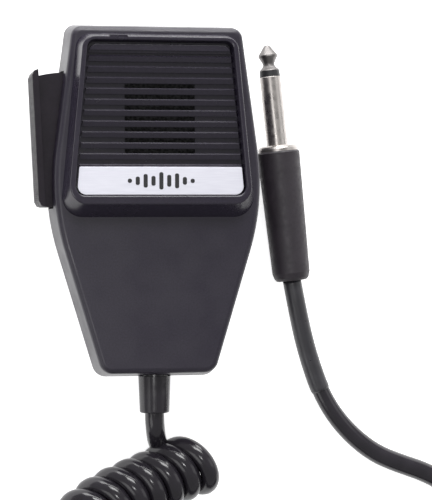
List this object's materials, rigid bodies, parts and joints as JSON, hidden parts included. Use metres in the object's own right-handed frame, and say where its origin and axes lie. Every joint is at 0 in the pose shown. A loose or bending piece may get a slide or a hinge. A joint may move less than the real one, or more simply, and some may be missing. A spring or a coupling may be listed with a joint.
{
  "type": "hand microphone",
  "caption": "Palm-held black microphone with a slatted grille, a push-to-talk lever on its left flank, a curly cord and a quarter-inch jack plug.",
  "frame": {"origin": "centre of the flat patch on the back that the microphone rests on", "axes": "+X across the microphone, away from the push-to-talk lever; +Y towards its top; +Z out of the grille"},
  "size_m": [0.146, 0.2139, 0.031],
  "materials": {
    "housing_plastic": "fine textured charcoal black",
    "bezel_plastic": "satin charcoal black",
    "lever_plastic": "glossy black",
    "nameplate_plate": "silvery white satin",
    "mark_ink": "printed dark ink",
    "zinc_steel": "zinc plated",
    "nickel_plate": "polished nickel",
    "plug_nickel": "polished nickel",
    "foam": "open-cell foam",
    "rubber": "soft rubber",
    "relief_rubber": "glossy moulded rubber",
    "capsule_metal": "spun aluminium",
    "diaphragm_film": "clear film",
    "copper": "enamelled copper",
    "inner_plastic": "moulded",
    "magnet": "ground",
    "board": "phenolic board",
    "spring_steel": "spring wire",
    "switch_red": "moulded red",
    "brass": "tinned brass",
    "cord_pvc": "glossy PVC",
    "sleeve_pvc": "glossy heat-shrink",
    "lead_pvc": "coloured PVC",
    "insulator_black": "moulded",
    "barrel_plastic": "glossy black"
  },
  "bodies": {
    "housing": {"front_shell": "housing_plastic", "rear_shell": "housing_plastic", "grille_bezel": "bezel_plastic", "nameplate": "nameplate_plate", "nameplate_mark": "mark_ink", "housing_screws": "zinc_steel", "hang_button": "nickel_plate", "hang_button_nut": "zinc_steel", "windscreen_foam": "foam", "capsule_gasket": "rubber", "capsule_cover": "capsule_metal", "capsule_diaphragm": "diaphragm_film", "voice_coil": "copper", "capsule_basket": "inner_plastic", "magnet_yoke": "capsule_metal", "capsule_magnet": "magnet", "pole_piece": "zinc_steel", "capsule_terminals": "board", "capsule_retainer": "zinc_steel", "retainer_screws": "zinc_steel", "ptt_hinge_pin": "zinc_steel", "ptt_return_spring": "spring_steel", "switch_body": "inner_plastic", "switch_terminals": "brass", "switch_screws": "zinc_steel", "strain_relief": "relief_rubber", "cord_entry": "cord_pvc", "cable_clamp": "inner_plastic", "clamp_screws": "zinc_steel", "internal_leads": "lead_pvc", "mic_cord_tail": "cord_pvc", "curly_cord": "cord_pvc", "plug_cord": "cord_pvc", "cord_sleeve": "sleeve_pvc", "plug_tip": "plug_nickel", "plug_insulator": "insulator_black", "plug_shank": "plug_nickel", "plug_barrel": "barrel_plastic", "plug_inner_sleeve": "inner_plastic", "plug_lugs": "brass"},
    "ptt_lever": {"ptt_lever": "lever_plastic"},
    "switch_plunger": {"switch_plunger": "switch_red"}
  },
  "joints": [
    {"name": "ptt_press", "type": "hinge", "parent": "housing", "child": "ptt_lever", "pos_m": [-0.026, 0.0015, 0.015], "axis": [0, 0, -1], "range_deg": [0, 4.5], "stiffness_Nm_per_rad": 0.6, "springref_deg": -6.88, "deforming": ["ptt_return_spring"]},
    {"name": "switch_travel", "type": "slide", "parent": "housing", "child": "switch_plunger", "axis": [1, 0, 0], "range_m": [0, 0.0015]}
  ],
  "couplings": [
    {"joint": "switch_travel", "follows": "ptt_press", "m_per_rad": 0.017}
  ]
}
